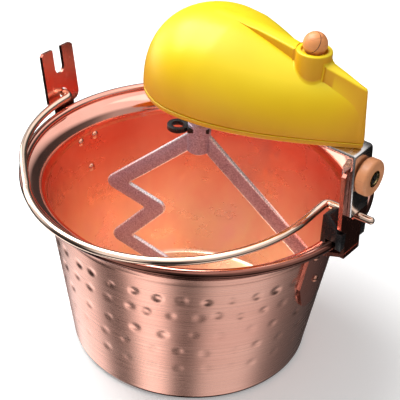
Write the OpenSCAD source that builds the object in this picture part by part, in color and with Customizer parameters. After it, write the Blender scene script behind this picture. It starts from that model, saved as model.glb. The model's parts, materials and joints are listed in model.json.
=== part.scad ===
// Electric stirring pot: a copper pot with a clamp-on motor head and a stirring paddle.
// Origin: centre of the pot's base. +Z up, +X towards the clamp lug, millimetres.

/* [Pot] */
// Height of the rim, at the centre of its rolled bead
pot_h = 150; // [140:1:160]
// Outer radius of the pot's base
base_r = 94; // [90:1:96]
// Radius at the centre of the rolled bead
rim_r = 130; // [128:0.5:132]
// Outward slope of the wall, radius per height
taper = 0.15; // [0.14:0.005:0.16]
// Thickness of the copper sheet
sheet = 1.2; // [1:0.1:1.5]
// Radius of the rolled bead
bead_r = 3.5; // [3.2:0.1:4]

/* [Lugs and bail] */
// Width of a lug
lug_w = 34; // [30:1:36]
// Thickness of the lug plate
lug_t = 3; // [2.5:0.5:3]
// Outward lean of the free lug, degrees
free_lean = 9.6; // [6:0.2:12]
// Inward lean of the clamp lug, degrees
clamp_lean = 3; // [1:0.5:3]
// How much higher the clamp lug stands
clamp_lift = 10; // [6:1:11]
// Width of the notch in a lug's top
notch_w = 10.2; // [10:0.1:11]
// Radius of the bail rod
rod_r = 3; // [2.5:0.25:3.2]

/* [Motor head] */
// Height of the head's underside above the rim
head_gap = 73; // [72:1:76]
// Radius of the housing's round end
bulb_r = 53; // [50:1:54]
// Distance from the drive axis to the middle of the round end
bulb_x = 14; // [12:1:18]
// Distance from the drive axis to the tip of the nose
nose_x = 135; // [133:1:136]
// Height of the housing's crown above its parting line
crown_h = 56; // [54:1:60]
// Wall thickness of the plastic shells
shell_t = 2.5; // [2:0.5:3]

/* [Stirring paddle] */
// Direction of the paddle's plane at rest, degrees from +X
paddle_turn = 18; // [10:1:25]
// Width of a paddle bar
bar_w = 12.5; // [10:0.5:13]
// Thickness of a paddle bar
bar_t = 4; // [3:0.5:5]
// Radius of the drive shaft
shaft_r = 5; // [4.5:0.25:5.25]

/* [Gears] */
// Tooth size of every gear
gear_module = 1; // [1]
// Teeth on the motor pinion and on the idler's small gear
small_teeth = 12; // [12]
// Teeth on the idler's large gear
idler_teeth = 24; // [24]
// Teeth on the output gear
output_teeth = 32; // [32]

/* [Hidden] */
$fn = 48;

fit = 0.05;             // radial clearance of a running fit
gap = 0.3;              // clearance between pieces that pass each other
wall_top = pot_h - 18;  // where the flare starts
wall_lean = atan(taper);
corner_r = 5;
flare_r = 16.25;
flare_end = 80;
wire_r = bead_r - sheet - 0.1;

lug_z = pot_h - 9;      // foot of a lug's upright plate
lug_x = rim_r + bead_r + 1.5 + lug_t / 2;
neck_w = 20;
notch_z = 38;           // notch bottom above the plate's foot
hole_z = 21;            // bail hole above the plate's foot
hole_r = 4.3;
prong_top = 59;
rivet_r = 2.5;
rivet_z = [129, 129, 103];
rivet_y = [-8.25, 8.25, 0];

head_z = pot_h + head_gap;       // underside of the head
part_z = head_z + 5;             // parting line of the two shells
nose_r = 3;
boss_x = 90;
boss_r = 12.2;
boss_z = pot_h + 131;
ball_r = 8.3;
ball_z = pot_h + 135;
ridge_w = 6.5;          // half width of the spine at the boss, at its start and at the nose
crown_x = 30;           // where the crown starts to fall and the spine begins
ridge_start = 5.5;
ridge_end = 1.8;
wide_x = 95;
ridge_fall = 0.00125;   // how the spine and the crown drop towards the nose
crown_fall = 0.16;
crown_power = 1.1;
saddle_x = 133.4;       // outer face of the rim saddle's block
bail_slot = 4;
bolt_z = pot_h + 55;
knob_r = 13.2;
knob_t = 9.2;

floor_z = head_z + shell_t;      // inside of the lower cover
gear_z = head_z + 6;
plate_z = head_z + 23;
idler_x = gear_module * (small_teeth + output_teeth) / 2;
motor_x = idler_x + gear_module * (small_teeth + idler_teeth) / 2;
hub_z = 166;
hub_r = 8.75;
hub_h = 24;
clip_z = 184;
clip_t = 3.5;
clip_turn = -142;
neck_r = 3.5;

pin_out = 152;          // outer end of the bail's pins
eye_left = 131;         // where the bail's left end turns into its pin
eye_right = 113.4;      // where its right end does
bail_left_z = lug_z + hole_z;
bail_right_z = bail_left_z + clamp_lift - 0.5;
bail_span = 276;        // between the two pivots
bail_tilt = atan((bail_right_z - bail_left_z) / bail_span);
bail_z = (bail_left_z + bail_right_z) / 2;
bail_drop = 3.6;        // droop of the loop's plane at rest, degrees
bend_r = 4.5;
left_arc = [-22, -8, 109, 109];          // centre and radii of the loop's arcs
flat_arc = [244.7, 277.9, 500, 500];
right_arc = [1.8, -23.9, 111.6, 114];

strap_w = 22;
strap_t = 3;
strap_x = 60;           // inner end of the strap
leg_low = pot_h + 25.5; // lower end of its leg
screw_x = [70, 88, 106];
bolt_r = 4;
pin_r = 2.5;
pin_z = lug_z + cos(clamp_lean) * (notch_z + clamp_lift + notch_w / 2);

round_steps = 8;        // steps along the housing's plan and up its side
side_steps = 10;
nose_steps = 3;
rows = 9;
round_bulge = 2.3;      // how square the housing's cross-section is at the round end
nose_bulge = 1.4;       // and at the nose, where it is nearer a ridge
gland_x = 84;
gland_z = part_z + 9;
post_at = [[-15, -17], [-15, 17], [56, -28], [56, 28]];
ear_y = 26;             // the motor's fixing screws, off its axis
travel = 3;
switch_z = part_z + 19;
switch_h = 9;
stem_low = switch_z + switch_h + travel + gap;

function wall(z) = base_r + taper * z;
function arc(x, y, r, a0, a1, n) =
    [for (i = [0:n]) let (a = a0 + (a1 - a0) * i / n) [x + r * cos(a), y + r * sin(a)]];

// ---- pot -----------------------------------------------------------------

module pot_sheet() {
    outer_corner = arc(base_r - corner_r + 0.8, corner_r, corner_r, -90, -wall_lean, 6);
    inner_corner = arc(base_r - corner_r + 0.8, corner_r, corner_r - sheet, -90, -wall_lean, 6);
    outer_flare = [for (a = [0:10:flare_end])
        [wall(wall_top) + flare_r * (1 - cos(a)), wall_top + flare_r * sin(a)]];
    inner_flare = [for (a = [flare_end:-10:0])
        [wall(wall_top) + flare_r - (flare_r + sheet) * cos(a),
        wall_top + (flare_r + sheet) * sin(a)]];
    polygon(concat([[0, 0]], outer_corner, outer_flare, inner_flare,
        [for (i = [6:-1:0]) inner_corner[i]], [[0, sheet]]));
}

module rivet_holes(side) {
    for (i = [0:2]) rivet_place(side, i) translate([0, 0, -4]) cylinder(r = rivet_r + fit, h = 12);
}

module rivet_place(side, i) {
    rotate([0, 0, (side < 0 ? 180 : 0) + asin(rivet_y[i] / wall(rivet_z[i]))])
        translate([wall(rivet_z[i]), 0, rivet_z[i]])
            rotate([0, 90 + wall_lean, 0])
                children();
}

module pot_body() {
    color("peru")
        difference() {
            rotate_extrude($fn = 96)
                union() {
                    difference() {
                        pot_sheet();
                        translate([rim_r, pot_h]) circle(r = bead_r - sheet);
                    }
                    difference() {
                        translate([rim_r, pot_h]) circle(r = bead_r);
                        translate([rim_r, pot_h]) circle(r = bead_r - sheet);
                    }
                }
            rivet_holes(-1);
            rivet_holes(1);
        }
}

module rim_wire() {
    color("dimgray")
        rotate_extrude($fn = 96) translate([rim_r, pot_h]) circle(r = wire_r, $fn = 24);
}

// ---- lugs ----------------------------------------------------------------

// Upright plate: a neck, a wide body with round corners, and a fork at the top.
module lug_outline(lift) {
    w = lug_w / 2;
    n = neck_w / 2;
    foot = 11 + lift;
    round_r = w - n;
    difference() {
        polygon(concat([[-n, -2], [n, -2], [n, foot]],
            arc(w - round_r, foot + round_r, round_r, -60, 0, 5),
            [[w, prong_top + lift - 2], [w - 2, prong_top + lift]],
            [[-w + 2, prong_top + lift], [-w, prong_top + lift - 2]],
            arc(-w + round_r, foot + round_r, round_r, 180, 240, 5), [[-n, foot]]));
        translate([0, notch_z + lift + notch_w / 2]) circle(d = notch_w);
        translate([-notch_w / 2, notch_z + lift + notch_w / 2]) square([notch_w, 40]);
        translate([0, hole_z + lift]) circle(r = hole_r);
    }
}

// Wall tab: a curved pad that follows the pot's wall, pointed at its lower end.
module lug_tab() {
    w = lug_w / 2;
    tab_low = 76;
    tab_mid = 100;
    tab_high = 134.6;
    intersection() {
        rotate_extrude($fn = 96)
            polygon([[wall(60) + fit, 60], [wall(60) + fit + lug_t, 60],
                [wall(tab_high) + fit + lug_t, tab_high], [wall(tab_high) + fit, tab_high]]);
        translate([90, 0, 0]) rotate([90, 0, 90])
            linear_extrude(50)
                polygon([[-w, tab_high + 1], [-w, tab_mid], [-w / 2, tab_low + 4], [-w / 4, tab_low],
                    [w / 4, tab_low], [w / 2, tab_low + 4], [w, tab_mid], [w, tab_high + 1]]);
    }
}

// Joggle: the strip that carries the lug out from the wall past the bead.
module lug_joggle() {
    low = 134.6;
    rotate([90, 0, 0])
        translate([0, 0, -neck_w / 2])
            linear_extrude(neck_w)
                polygon([[wall(low) + 0.4, low - 2], [wall(low) + 0.4, low],
                    [lug_x - lug_t / 2, lug_z + 1.3], [lug_x - lug_t / 2, lug_z + 2],
                    [lug_x + lug_t / 2, lug_z + 2], [lug_x + lug_t / 2, lug_z - 0.8],
                    [wall(low) + 1.5, low - 2.8]]);
}

module lug(lean, lift) {
    difference() {
        union() {
            lug_tab();
            lug_joggle();
            translate([lug_x, 0, lug_z]) rotate([0, lean, 0])
                translate([-lug_t / 2, 0, 0]) rotate([90, 0, 90])
                    linear_extrude(lug_t) lug_outline(lift);
        }
        rivet_holes(1);
    }
}

module lug_left() {
    color("peru") mirror([1, 0, 0]) lug(free_lean, 0);
}

module lug_right() {
    color("peru") lug(-clamp_lean, clamp_lift);
}

module rivets(side) {
    head = 3.4;
    dome = 1.8;
    round_r = (head * head + dome * dome) / (2 * dome);
    color("chocolate")
        for (i = [0:2]) rivet_place(side, i) {
            translate([0, 0, -sheet - 0.3]) cylinder(r = rivet_r, h = sheet + lug_t + 0.6);
            for (end = [0, 1]) translate([0, 0, end == 1 ? lug_t + 0.1 : -sheet - 0.1])
                mirror([0, 0, 1 - end])
                    rotate_extrude() intersection() {
                        translate([0, dome - round_r]) circle(r = round_r);
                        square([head, dome]);
                    }
        }
}

module rivets_left() { rivets(-1); }
module rivets_right() { rivets(1); }

// Plastic block on the rim against the clamp lug, with jaws that grip the bead beside its neck.
module rim_saddle() {
    half = 16;
    low = pot_h + bead_r + 0.2;
    color("black")
        difference() {
            union() {
                rotate([90, 0, 0]) translate([0, 0, -half])
                    linear_extrude(2 * half)
                        polygon([[121, low - 4], [125, low - 4], [125, low], [saddle_x, low],
                            [saddle_x, low + 13.3], [126, low + 20.3], [121, low + 18.3]]);
                for (side = [-1, 1])
                    translate([saddle_x - 0.2, side > 0 ? neck_w / 2 + 0.6 : -half, pot_h - 1.5])
                        cube([4.5, half - neck_w / 2 - 0.6, 13]);
            }
            translate([100, -bail_slot, pot_h + 17]) cube([40, 2 * bail_slot, 20]);
        }
}

// ---- bail ----------------------------------------------------------------

// The loop is flat: three arcs in its own plane, then a short bend to a straight pin each side.
function loop_arc(c, a0, a1, first, steps) = [for (i = [first:steps])
    let (a = a0 + (a1 - a0) * i / steps) [c[0] + c[2] * sin(a), c[1] - c[3] * cos(a), 0]];
function bend(x, side) = [[x, -bend_r, 0], [x + side * bend_r * 0.4, -bend_r * 0.2, 0],
    [x + side * bend_r, 0, 0], [side * pin_out, 0, 0]];
left_bend = bend(-eye_left, -1);
bail_path = concat([for (i = [3:-1:0]) left_bend[i]], loop_arc(left_arc, -90, -43, 0, 8),
    loop_arc(flat_arc, -43, -39, 1, 2), loop_arc(right_arc, -39, 90, 1, 18), bend(eye_right, 1));

function unit(v) = v / norm(v);
function side_way(p, i) = unit(cross([0, 0, 1],
    p[min(i + 1, len(p) - 1)] - p[max(i - 1, 0)]));

// A round rod swept along a path that lies in one plane.
module flat_sweep(path, r, sides) {
    n = len(path);
    rings = [for (i = [0:n - 1]) for (k = [0:sides - 1])
        path[i] + side_way(path, i) * r * cos(360 * k / sides) + [0, 0, r * sin(360 * k / sides)]];
    skin = [for (i = [0:n - 2]) for (k = [0:sides - 1]) let (m = (k + 1) % sides)
        [i * sides + k, i * sides + m, (i + 1) * sides + m, (i + 1) * sides + k]];
    first = [[for (k = [sides - 1:-1:0]) k]];
    last = [[for (k = [0:sides - 1]) (n - 1) * sides + k]];
    polyhedron(rings, concat(skin, first, last));
}

module bail_handle() {
    color("peru")
        translate([0, 0, bail_z]) rotate([0, -bail_tilt, 0]) rotate([bail_drop, 0, 0])
            flat_sweep(bail_path, rod_r, 12);
}

// ---- head mounting -------------------------------------------------------

// Outer face of the clamp lug at a height
function lug_face(z) = lug_x + lug_t / 2 / cos(clamp_lean) - tan(clamp_lean) * (z - lug_z);

module mounting_bracket() {
    top = lug_face(head_z) + gap;
    low = lug_face(leg_low) + gap;
    color("silver")
        difference() {
            rotate([90, 0, 0]) translate([0, 0, -strap_w / 2])
                linear_extrude(strap_w)
                    polygon([[strap_x, head_z], [strap_x, head_z - strap_t],
                        [top, head_z - strap_t], [low, leg_low], [low + strap_t, leg_low],
                        [top + strap_t, head_z - strap_t], [top + strap_t - 0.6, head_z - 0.8],
                        [top + strap_t - 2, head_z]]);
            translate([120, 0, bolt_z]) rotate([0, 90, 0]) cylinder(r = bolt_r + 2 * fit, h = 30);
            translate([120, 0, pin_z]) rotate([0, 90, 0]) cylinder(r = pin_r + fit, h = 30);
            for (x = screw_x)
                translate([x, 0, head_z - 10]) cylinder(r = 2.6, h = 20);
        }
}

module screw(r, head_r, head_h, length) {
    cylinder(r = r, h = length);
    translate([0, 0, -head_h]) cylinder(r1 = head_r * 0.8, r2 = head_r, h = head_h);
}

module bracket_screws() {
    color("silver")
        for (x = screw_x)
            translate([x, 0, head_z - strap_t]) screw(2.5, 4.6, 2.6, 14);
}

// Shouldered pin: its head fills the notch and its shank is riveted into the strap's leg.
module locating_pin() {
    x = lug_face(pin_z) + gap;
    color("gray")
        translate([0, 0, pin_z]) rotate([0, 90, 0]) {
            translate([0, 0, x - 1.5 * gap - lug_t]) cylinder(r = 4.6, h = lug_t);
            translate([0, 0, x - 1]) cylinder(r = pin_r, h = strap_t + 0.8);
        }
}

knob_x = lug_face(bolt_z) + strap_t + 3 * gap;

module clamp_bolt() {
    inner = lug_face(bolt_z) - lug_t - 1.4;
    color("silver")
        translate([inner, 0, bolt_z]) rotate([0, 90, 0]) {
            cylinder(r = bolt_r, h = knob_x + knob_t - 2 * gap - inner);
            translate([0, 0, -5]) cylinder(r = 6.5, h = 5, $fn = 6);
        }
}

// Wooden disc with a rounded rim.
module clamp_knob() {
    e = 2;
    color("burlywood")
        translate([knob_x, 0, bolt_z]) rotate([0, 90, 0])
            rotate_extrude()
                polygon(concat([[6, 0]], arc(knob_r - e, e, e, -90, 0, 5),
                    arc(knob_r - e, knob_t - e, e, 0, 90, 5), [[6, knob_t]]));
}

module knob_insert() {
    color("gold")
        translate([knob_x, 0, bolt_z]) rotate([0, 90, 0])
            difference() {
                cylinder(r = 6 - fit, h = knob_t - gap);
                translate([0, 0, -1]) cylinder(r = bolt_r + fit, h = knob_t + 2);
            }
}

// ---- housing -------------------------------------------------------------

// The plan is a round end and two sides that draw in to a narrow nose.
// t runs along the tapering part, from 0 at the round end to 1 at the nose.
function half_width(t, r) = nose_r + (r - nose_r) * cos(90 * t);
function plan_x(t) = bulb_x + (nose_x - nose_r - bulb_x) * t;

// One corner of the plan: [x, y, x of the centre line it belongs to]
function plan(inset) = concat(
    [for (i = [0:round_steps]) let (a = 180 + 90 * i / round_steps)
        [bulb_x + (bulb_r - inset) * cos(a), (bulb_r - inset) * sin(a), bulb_x]],
    [for (i = [1:side_steps]) let (t = i / side_steps)
        [plan_x(t), -max(half_width(t, bulb_r) - inset, 0.8), plan_x(t)]],
    [for (i = [1:nose_steps]) let (a = -90 + 90 * i / nose_steps)
        [plan_x(1) + max(nose_r - inset, 0.8) * cos(a), max(nose_r - inset, 0.8) * sin(a), plan_x(1)]]);
function whole_plan(inset) = let (half = plan(inset), n = len(half))
    concat(half, [for (i = [n - 2:-1:1]) [half[i][0], -half[i][1], half[i][2]]]);

function bulge(x) = round_bulge + (nose_bulge - round_bulge) * (x - bulb_x) / (nose_x - nose_r - bulb_x);
function crown(x) = crown_h - crown_fall * pow(max(x - crown_x, 0), crown_power);
function ridge(x) = crown_h + 0.4 - ridge_fall * pow(x - bulb_x, 2);
// Half width of the spine, widest where it meets the button's boss
function spine_w(x) = x < wide_x
    ? ridge_start + (ridge_w - ridge_start) * (x - crown_x) / (wide_x - crown_x)
    : ridge_w - (ridge_w - ridge_end) * (x - wide_x) / (nose_x - wide_x);

// Closed dome over the plan, with the spine standing on its crown.
// inset draws the walls and the crown inwards and leaves the spine off; drop lowers the base.
module dome(inset, drop) {
    base = whole_plan(inset);
    n = len(base);
    function reach(p) = norm([p[0] - p[2], p[1]]);
    function foot(p) = acos(pow(min(spine_w(p[2]) / reach(p), 0.7), bulge(p[2]) / 2));
    function pull(a, p) = pow(cos(a), 2 / bulge(p[2]));
    function rise(a, p) = a == 0 ? -drop : (crown(p[2]) - inset) * pow(sin(a), 2 / bulge(p[2]));
    function place(a, p, z) = [p[2] + (p[0] - p[2]) * pull(a, p), p[1] * pull(a, p), z];
    function top(p) = inset > 0 ? rise(foot(p), p) + 0.4 : max(ridge(p[2]), rise(foot(p), p) + 0.4);
    points = concat(
        [for (k = [0:rows]) for (p = base) let (a = foot(p) * k / rows) place(a, p, rise(a, p))],
        [for (p = base) place(foot(p) + 0.3, p, top(p))]);
    faces = concat(
        [[for (i = [0:n - 1]) i]],
        [for (k = [0:rows]) for (i = [0:n - 1]) let (j = (i + 1) % n) each [
            [k * n + i, (k + 1) * n + j, k * n + j],
            [k * n + i, (k + 1) * n + i, (k + 1) * n + j]]],
        cap((rows + 1) * n, n));
    translate([0, 0, part_z]) polyhedron(points, faces);
}

// Top strip between the two sides of a ring of n corners.
function cap(f, n) = concat([[f, f + n - 1, f + 1]],
    [for (i = [1:n / 2 - 2]) each [[f + i, f + n - i, f + n - i - 1], [f + i, f + n - i - 1, f + i + 1]]],
    [[f + n / 2 - 1, f + n / 2 + 1, f + n / 2]]);

module upper_housing() {
    color("gold")
        difference() {
            union() {
                dome(0, 0);
                translate([boss_x, 0, part_z + 20]) cylinder(r = boss_r, h = boss_z - part_z - 20);
            }
            dome(shell_t, 1);
            translate([boss_x, 0, boss_z - 6.5]) cylinder(r = ball_r + 0.6, h = 10);
            translate([boss_x, 0, part_z + 30]) cylinder(r = 3.1, h = 60);
            translate([gland_x, 20, gland_z]) rotate([-90, 0, 0]) cylinder(r = 5, h = 40);
        }
}

module lower_cover() {
    rim = [for (p = whole_plan(0.6)) [p[0], p[1]]];
    lip = [for (p = whole_plan(2)) [p[0], p[1]]];
    room = [for (p = whole_plan(shell_t + 1)) [p[0], p[1]]];
    color("gold")
        difference() {
            union() {
                translate([0, 0, head_z + 1.5]) linear_extrude(part_z - head_z - 1.5) polygon(rim);
                translate([0, 0, head_z]) linear_extrude(2) polygon(lip);
                for (p = post_at) translate([p[0], p[1], head_z]) cylinder(r = 4, h = 8);
            }
            difference() {
                translate([0, 0, floor_z]) linear_extrude(10) polygon(room);
                for (x = screw_x) translate([x, 0, head_z]) cylinder(r = 5, h = 12);
                for (p = post_at) translate([p[0], p[1], head_z]) cylinder(r = 4, h = 20);
                cylinder(r = 11, h = head_z + 4);
            }
            translate([0, 0, head_z - 5]) cylinder(r = 8 + fit, h = 20);
            for (x = screw_x) translate([x, 0, head_z - 1]) cylinder(r = 2.5 + fit, h = 30);
            for (p = post_at) translate([p[0], p[1], head_z - 1]) cylinder(r = 1.5 + fit, h = 30);
        }
}

// Long screws through the lower cover into the plate posts.
module housing_screws() {
    color("gray")
        for (p = post_at)
            translate([p[0], p[1], head_z]) screw(1.5, 3.2, 1.8, plate_z - head_z - 4);
}

// ---- drive ---------------------------------------------------------------

module motor_can() {
    color("silver")
        translate([motor_x, 0, plate_z + 2]) {
            for (side = [-1, 1])
                difference() {
                    translate([-4, side * ear_y - 6, 3]) cube([8, 12, 1.2]);
                    translate([0, side * ear_y, 0]) cylinder(r = 1.5 + fit, h = 8);
                }
            rotate_extrude()
                polygon([[2.7, 0], [20, 0], [20, 2], [22.5, 2], [22.5, 22], [21, 24], [8, 24], [8, 26],
                    [2.7, 26]]);
        }
}

module motor_screws() {
    color("gray")
        for (y = [-ear_y, ear_y])
            translate([motor_x, y, plate_z + 6.2]) rotate([180, 0, 0]) screw(1.5, 2.8, 1.6, 5.5);
}

module gear_plate() {
    color("lightgray")
        difference() {
            union() {
                translate([-19, -21, plate_z]) cube([83, 42, 2]);
                translate([48, -34, plate_z]) cube([16, 68, 2]);
                translate([motor_x, 0, plate_z]) cylinder(r = 32, h = 2);
                for (y = [-ear_y, ear_y]) translate([motor_x, y, plate_z]) cylinder(r = 3, h = 5);
            }
            translate([0, 0, plate_z - 1]) cylinder(r = shaft_r + fit, h = 4);
            translate([idler_x, 0, plate_z - 1]) cylinder(r = 2.5 + fit, h = 4);
            translate([motor_x, 0, plate_z - 1]) cylinder(r = 5, h = 4);
            for (y = [-ear_y, ear_y]) translate([motor_x, y, plate_z - 1]) cylinder(r = 1.5 + fit, h = 8);
            for (p = post_at) translate([p[0], p[1], plate_z - 1]) cylinder(r = 2.1, h = 4);
        }
}

module plate_posts() {
    color("lightgray")
        for (p = post_at)
            translate([p[0], p[1], head_z + 8])
                difference() {
                    union() {
                        cylinder(r = 3.5, h = plate_z - head_z - 8);
                        cylinder(r = 2, h = plate_z - head_z - 6);
                    }
                    translate([0, 0, -1]) cylinder(r = 1.5 + fit, h = plate_z - head_z - 9);
                }
}

// Straight-flanked gear with slim teeth, so that meshed pairs keep backlash.
module gear(teeth, height, bore, turn) {
    m = gear_module;
    pitch = 360 / teeth;
    root = m * (teeth - 2.5) / 2;
    tip = m * (teeth + 1.8) / 2;
    outline = [for (i = [0:teeth - 1]) let (a = turn + i * pitch) each [
        [root * cos(a - pitch * 0.3), root * sin(a - pitch * 0.3)],
        [root * cos(a - pitch * 0.24), root * sin(a - pitch * 0.24)],
        [tip * cos(a - pitch * 0.09), tip * sin(a - pitch * 0.09)],
        [tip * cos(a + pitch * 0.09), tip * sin(a + pitch * 0.09)],
        [root * cos(a + pitch * 0.24), root * sin(a + pitch * 0.24)],
        [root * cos(a + pitch * 0.3), root * sin(a + pitch * 0.3)]]];
    difference() {
        linear_extrude(height) polygon(outline);
        translate([0, 0, -1]) cylinder(r = bore, h = height + 2);
    }
}

module motor_pinion() {
    color("darkgray") {
        translate([motor_x, 0, gear_z + 7]) gear(small_teeth, 8, 2.4, 180 / small_teeth);
        translate([motor_x, 0, gear_z + 6]) cylinder(r = 2.5, h = 24);
    }
}

module idler_axle() {
    color("gray")
        translate([idler_x, 0, floor_z]) cylinder(r = 2.5, h = plate_z + 2 - floor_z);
}

module idler_gear() {
    color("ivory")
        translate([idler_x, 0, gear_z - 1]) {
            gear(small_teeth, 8.5, 2.5 + fit, 180 / small_teeth);
            translate([0, 0, 8]) gear(idler_teeth, 7, 2.5 + fit, 0);
        }
}

module output_gear() {
    color("ivory")
        translate([0, 0, gear_z - 1]) {
            gear(output_teeth, 7, shaft_r + fit, 0);
            difference() {
                cylinder(r = 8, h = 12);
                translate([0, 0, -1]) cylinder(r = shaft_r + fit, h = 14);
            }
        }
}

module output_shaft() {
    low = hub_z + 4.5;
    color("gray")
        difference() {
            translate([0, 0, low]) cylinder(r = shaft_r, h = plate_z + 1.6 - low);
            translate([0, 0, clip_z - 0.2])
                difference() {
                    cylinder(r = 10, h = clip_t + 0.4);
                    translate([0, 0, -1]) cylinder(r = neck_r, h = 10);
                }
            translate([0, 0, gear_z - 3.2])
                difference() {
                    cylinder(r = 10, h = 1.2);
                    translate([0, 0, -1]) cylinder(r = 4.2, h = 4);
                }
        }
}

module shaft_bush() {
    color("peru")
        difference() {
            union() {
                translate([0, 0, head_z - 7]) cylinder(r = 8, h = 9);
                translate([0, 0, head_z - 7]) cylinder(r = 10.5, h = 7 - fit);
            }
            translate([0, 0, head_z - 10]) cylinder(r = shaft_r + fit, h = 20);
            translate([0, 0, head_z - 8]) cylinder(r = 7.5, h = 4);
        }
}

module shaft_seal() {
    color("black")
        translate([0, 0, head_z - 7])
            difference() {
                cylinder(r = 7.4, h = 2.8);
                translate([0, 0, -1]) cylinder(r = shaft_r + fit, h = 5);
            }
}

module circlip() {
    color("gray")
        translate([0, 0, gear_z - 3.1])
            difference() {
                cylinder(r = 7.2, h = 1);
                translate([0, 0, -1]) cylinder(r = 4.3, h = 3);
                translate([0, -2, -1]) cube([10, 4, 3]);
            }
}

// ---- paddle --------------------------------------------------------------

// Centre lines of the bars, [radius, height] in the paddle's plane.
zigzag = [[-3, 176], [-67, 120], [-31, 105], [-62, 70], [-25, 54], [-62, 14], [76, 14], [89, 96],
    [3, 177]];

// One bar between two corners, pointed enough to fill the corners.
module bar(a, b) {
    d = b - a;
    len_ab = norm(d);
    translate(a) rotate(atan2(d[1], d[0]))
        polygon([[-bar_w * 0.35, -bar_w / 2 + 1.5], [-1, -bar_w / 2], [len_ab + 1, -bar_w / 2],
            [len_ab + bar_w * 0.35, -bar_w / 2 + 1.5], [len_ab + bar_w * 0.35, bar_w / 2 - 1.5],
            [len_ab + 1, bar_w / 2], [-1, bar_w / 2], [-bar_w * 0.35, bar_w / 2 - 1.5]]);
}

module paddle() {
    color("silver")
        rotate([0, 0, paddle_turn])
            difference() {
                union() {
                    rotate([90, 0, 0]) translate([0, 0, -bar_t / 2])
                        linear_extrude(bar_t)
                            for (i = [0:len(zigzag) - 2]) bar(zigzag[i], zigzag[i + 1]);
                    translate([0, 0, hub_z]) cylinder(r = hub_r, h = hub_h);
                }
                translate([0, 0, hub_z + 4]) cylinder(r = shaft_r + fit, h = hub_h);
                rotate([0, 0, clip_turn - paddle_turn])
                    translate([-20, -7.4, clip_z - 0.1]) cube([40, 14.8, clip_t + 0.2]);
            }
}

// Sliding latch with a finger ring; its fork holds the groove in the shaft.
module paddle_clip() {
    ring_x = 16;
    color("black")
        rotate([0, 0, clip_turn]) translate([0, 0, clip_z])
            difference() {
                union() {
                    translate([-7, -7, 0]) cube([16, 14, clip_t]);
                    translate([ring_x, 0, 0]) cylinder(r = 8, h = clip_t);
                }
                translate([ring_x, 0, -1]) cylinder(r = 4.5, h = 10);
                translate([0, 0, -1]) cylinder(r = neck_r + 0.2, h = 10);
                translate([-20, -neck_r - 0.2, -1]) cube([20, 2 * neck_r + 0.4, 10]);
            }
}

// ---- switch --------------------------------------------------------------

module power_button() {
    color("burlywood")
        difference() {
            translate([boss_x, 0, ball_z]) sphere(r = ball_r);
            translate([boss_x, 0, ball_z - 20]) cylinder(r = 2.55, h = 18);
            translate([boss_x - 10, -10, ball_z - 20]) cube([20, 20, 13]);
        }
}

module button_stem() {
    color("ivory")
        translate([boss_x, 0, 0]) {
            translate([0, 0, stem_low]) cylinder(r = 2.5, h = ball_z - 2.5 - stem_low);
            translate([0, 0, stem_low + 4]) cylinder(r = 2.95, h = 8);
            translate([0, 0, stem_low]) cylinder(r = 5, h = 2);
        }
}

// Return spring around the stem, between the switch's top and the stem's foot.
module button_spring() {
    color("lightgray")
        translate([boss_x, 0, switch_z + switch_h])
            for (i = [0:2]) translate([0, 0, 0.55 + i * 1.05])
                rotate_extrude() translate([4, 0]) circle(r = 0.5, $fn = 16);
}

module switch_body() {
    color("dimgray")
        translate([boss_x, 0, 0]) {
            translate([-9, -7, switch_z]) cube([18, 14, switch_h]);
            for (y = [-9.5, 6.5]) translate([-4, y, floor_z]) cube([8, 3, switch_z - floor_z + 4]);
        }
}

module cord_gland() {
    color("black")
        translate([gland_x, 0, gland_z]) rotate([-90, 0, 0])
            difference() {
                union() {
                    translate([0, 0, 26]) cylinder(r = 4.9, h = 11);
                    translate([0, 0, 36.6]) cylinder(r = 6.5, h = 3.4);
                }
                translate([0, 0, 20]) cylinder(r = 3.2, h = 40);
            }
}

module terminal_block() {
    color("ivory")
        difference() {
            translate([62, -16, floor_z]) cube([10, 9, 11]);
            for (z = [4, 8])
                translate([60, -11.5, floor_z + z]) rotate([0, 90, 0]) cylinder(r = 1.2, h = 14);
        }
}

pot_body();
rim_wire();
lug_left();
lug_right();
rivets_left();
rivets_right();
rim_saddle();
bail_handle();
mounting_bracket();
bracket_screws();
locating_pin();
clamp_bolt();
clamp_knob();
knob_insert();
lower_cover();
upper_housing();
housing_screws();
motor_can();
motor_screws();
gear_plate();
plate_posts();
motor_pinion();
idler_axle();
idler_gear();
output_gear();
output_shaft();
shaft_bush();
shaft_seal();
circlip();
paddle();
paddle_clip();
power_button();
button_stem();
button_spring();
switch_body();
cord_gland();
terminal_block();
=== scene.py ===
"""Looks of the electric stirring pot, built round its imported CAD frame.

+Z up, +X towards the clamp lug, origin at the centre of the pot's base.
Shapes are written in millimetres and built in metres.
"""

import json
import math

import bmesh
import bpy
import numpy as np
from mathutils import Matrix, Vector

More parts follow.
